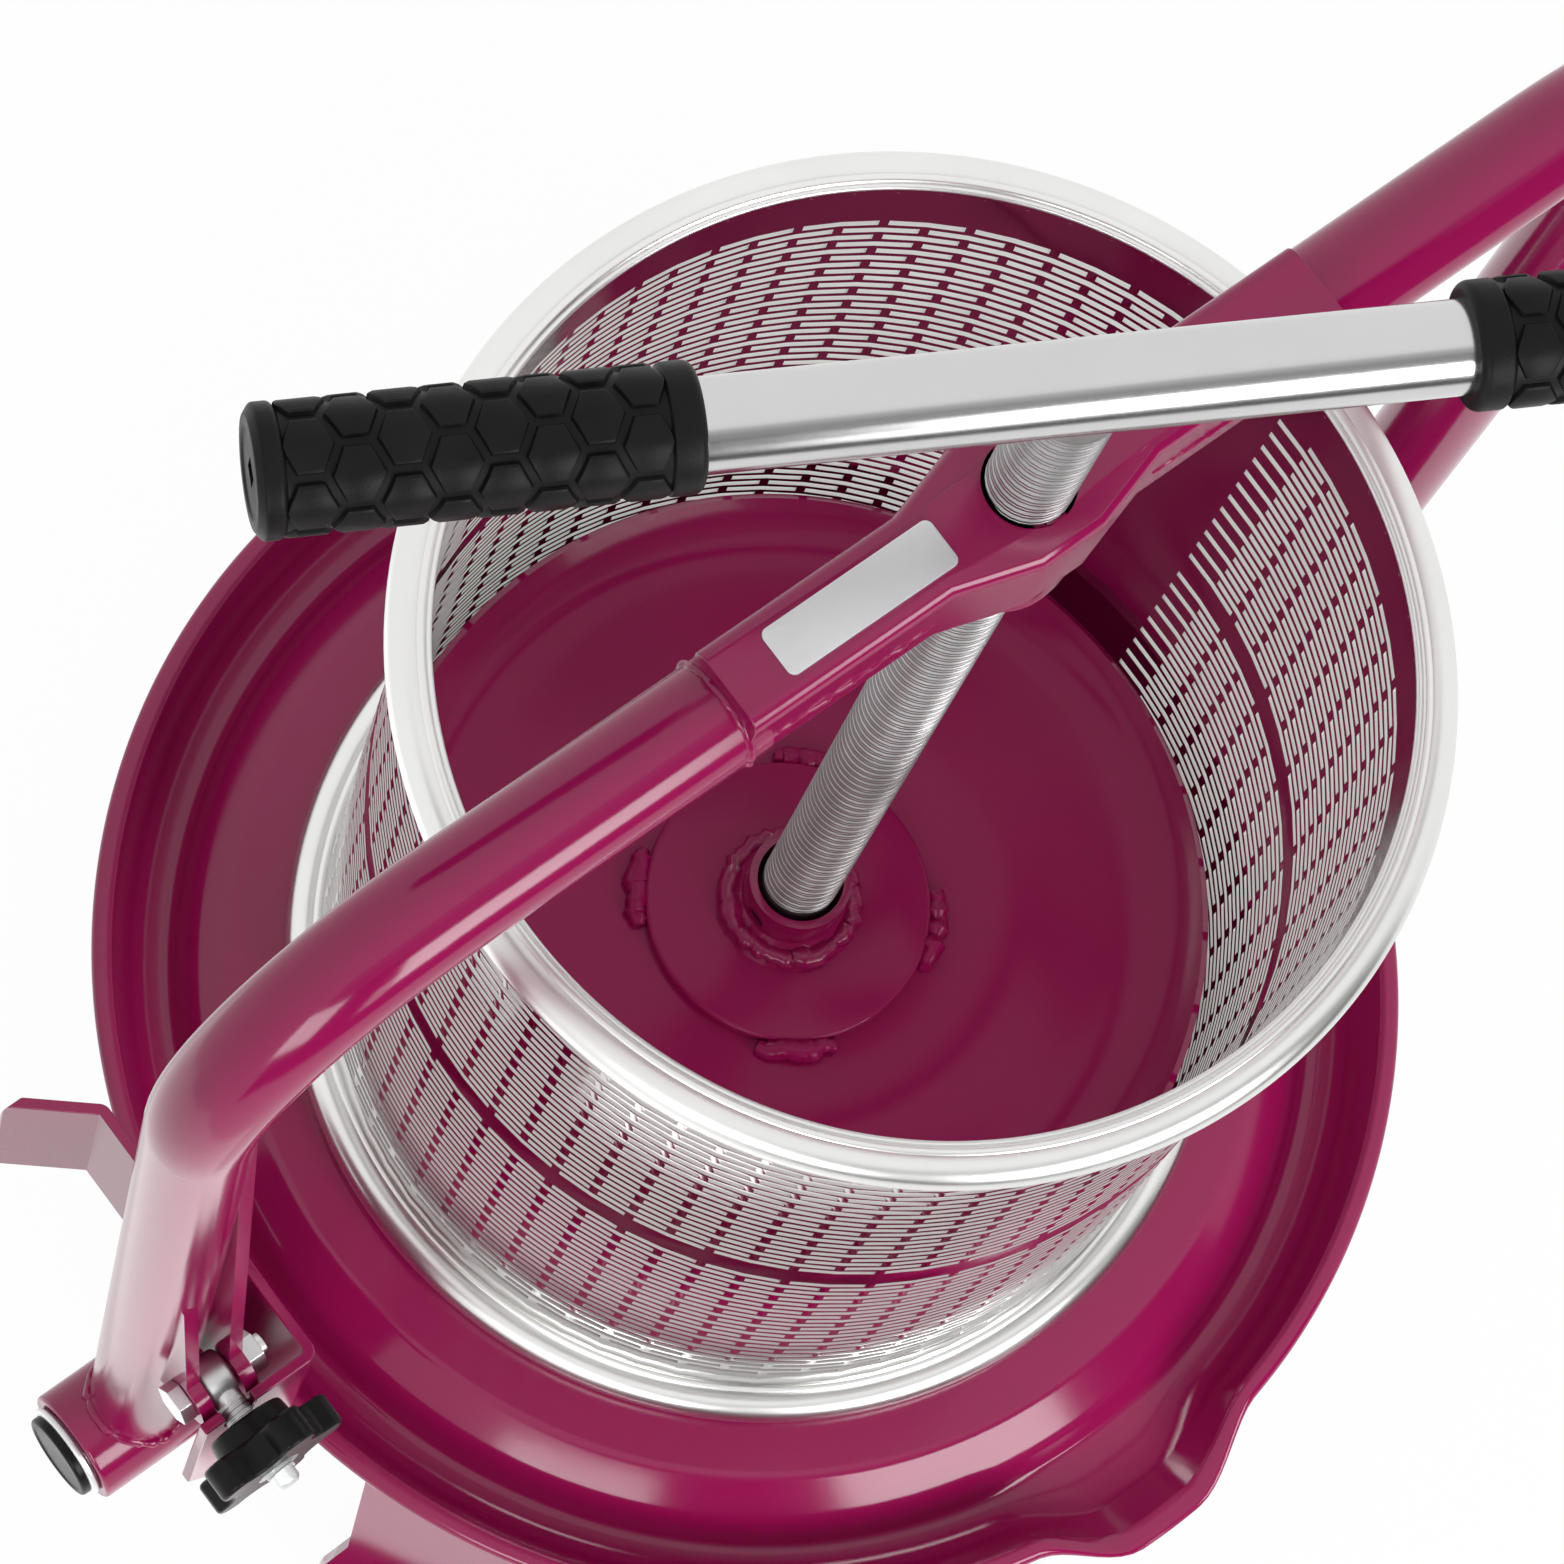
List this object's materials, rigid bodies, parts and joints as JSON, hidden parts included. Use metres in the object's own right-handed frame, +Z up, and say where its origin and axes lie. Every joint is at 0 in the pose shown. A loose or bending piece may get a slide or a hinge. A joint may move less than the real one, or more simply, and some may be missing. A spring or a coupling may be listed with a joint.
{
  "type": "fruit press",
  "caption": "Basket fruit press: slotted steel basket on a spouted juice tray with legs, under a tubular yoke whose T-handled screw drives a press plate.",
  "frame": {"origin": "centre of the footprint, on the floor under the middle of the basket", "axes": "+Z up along the screw; the spout points to -Y; the yoke spans X with its latch at -X"},
  "size_m": [0.462, 0.38, 0.5968],
  "materials": {
    "wine_paint": "glossy powder coat",
    "stainless": "satin",
    "zinc": "zinc plated",
    "black_rubber": "matt",
    "black_plastic": "satin"
  },
  "bodies": {
    "stand": {"juice_tray": "wine_paint", "base_beam": "wine_paint", "lock_bracket": "wine_paint", "pivot_bracket": "wine_paint", "yoke_bridge": "wine_paint", "latch_clevis": "wine_paint", "leg_rear": "wine_paint", "leg_front_left": "wine_paint", "leg_front_right": "wine_paint", "yoke_tube_left": "wine_paint", "yoke_tube_right": "wine_paint", "yoke_sleeve_left": "wine_paint", "yoke_sleeve_right": "wine_paint", "spindle_nut": "wine_paint", "basket_wall": "stainless", "basket_top_rim": "stainless", "basket_bottom_rim": "stainless", "clevis_bolt": "zinc", "clevis_nut": "zinc", "axle_washer_left": "zinc", "axle_washer_right": "zinc", "pivot_axle_left": "zinc", "pivot_axle_right": "zinc", "axle_cap_left": "black_plastic", "axle_cap_right": "black_plastic"},
    "plate": {"press_plate": "wine_paint", "plate_disc": "wine_paint", "plate_hub": "wine_paint", "hub_screw": "zinc"},
    "screw": {"spindle": "zinc", "handle_bar": "stainless", "grip_left": "black_rubber", "grip_right": "black_rubber"},
    "eye_bolt": {"eye_bolt": "zinc"},
    "knob": {"star_knob": "black_plastic", "knob_insert": "zinc"}
  },
  "joints": [
    {"name": "plate_travel", "type": "slide", "parent": "stand", "child": "plate", "axis": [0, 0, 1], "range_m": [-0.0441, 0.2681]},
    {"name": "spindle_turn", "type": "hinge", "parent": "plate", "child": "screw", "pos_m": [0, 0, 0.3], "axis": [0, 0, 1], "range_deg": [-3960, 24120]},
    {"name": "eyebolt_swing", "type": "hinge", "parent": "stand", "child": "eye_bolt", "pos_m": [-0.2053, -0.02, 0.23], "axis": [-1, 0, 0], "range_deg": [0, 45]},
    {"name": "knob_turn", "type": "hinge", "parent": "eye_bolt", "child": "knob", "pos_m": [-0.2053, -0.02, 0.23], "axis": [0, -1, 0], "continuous": true}
  ],
  "couplings": [
    {"joint": "plate_travel", "follows": "spindle_turn", "m_per_rad": 0.00063662}
  ]
}
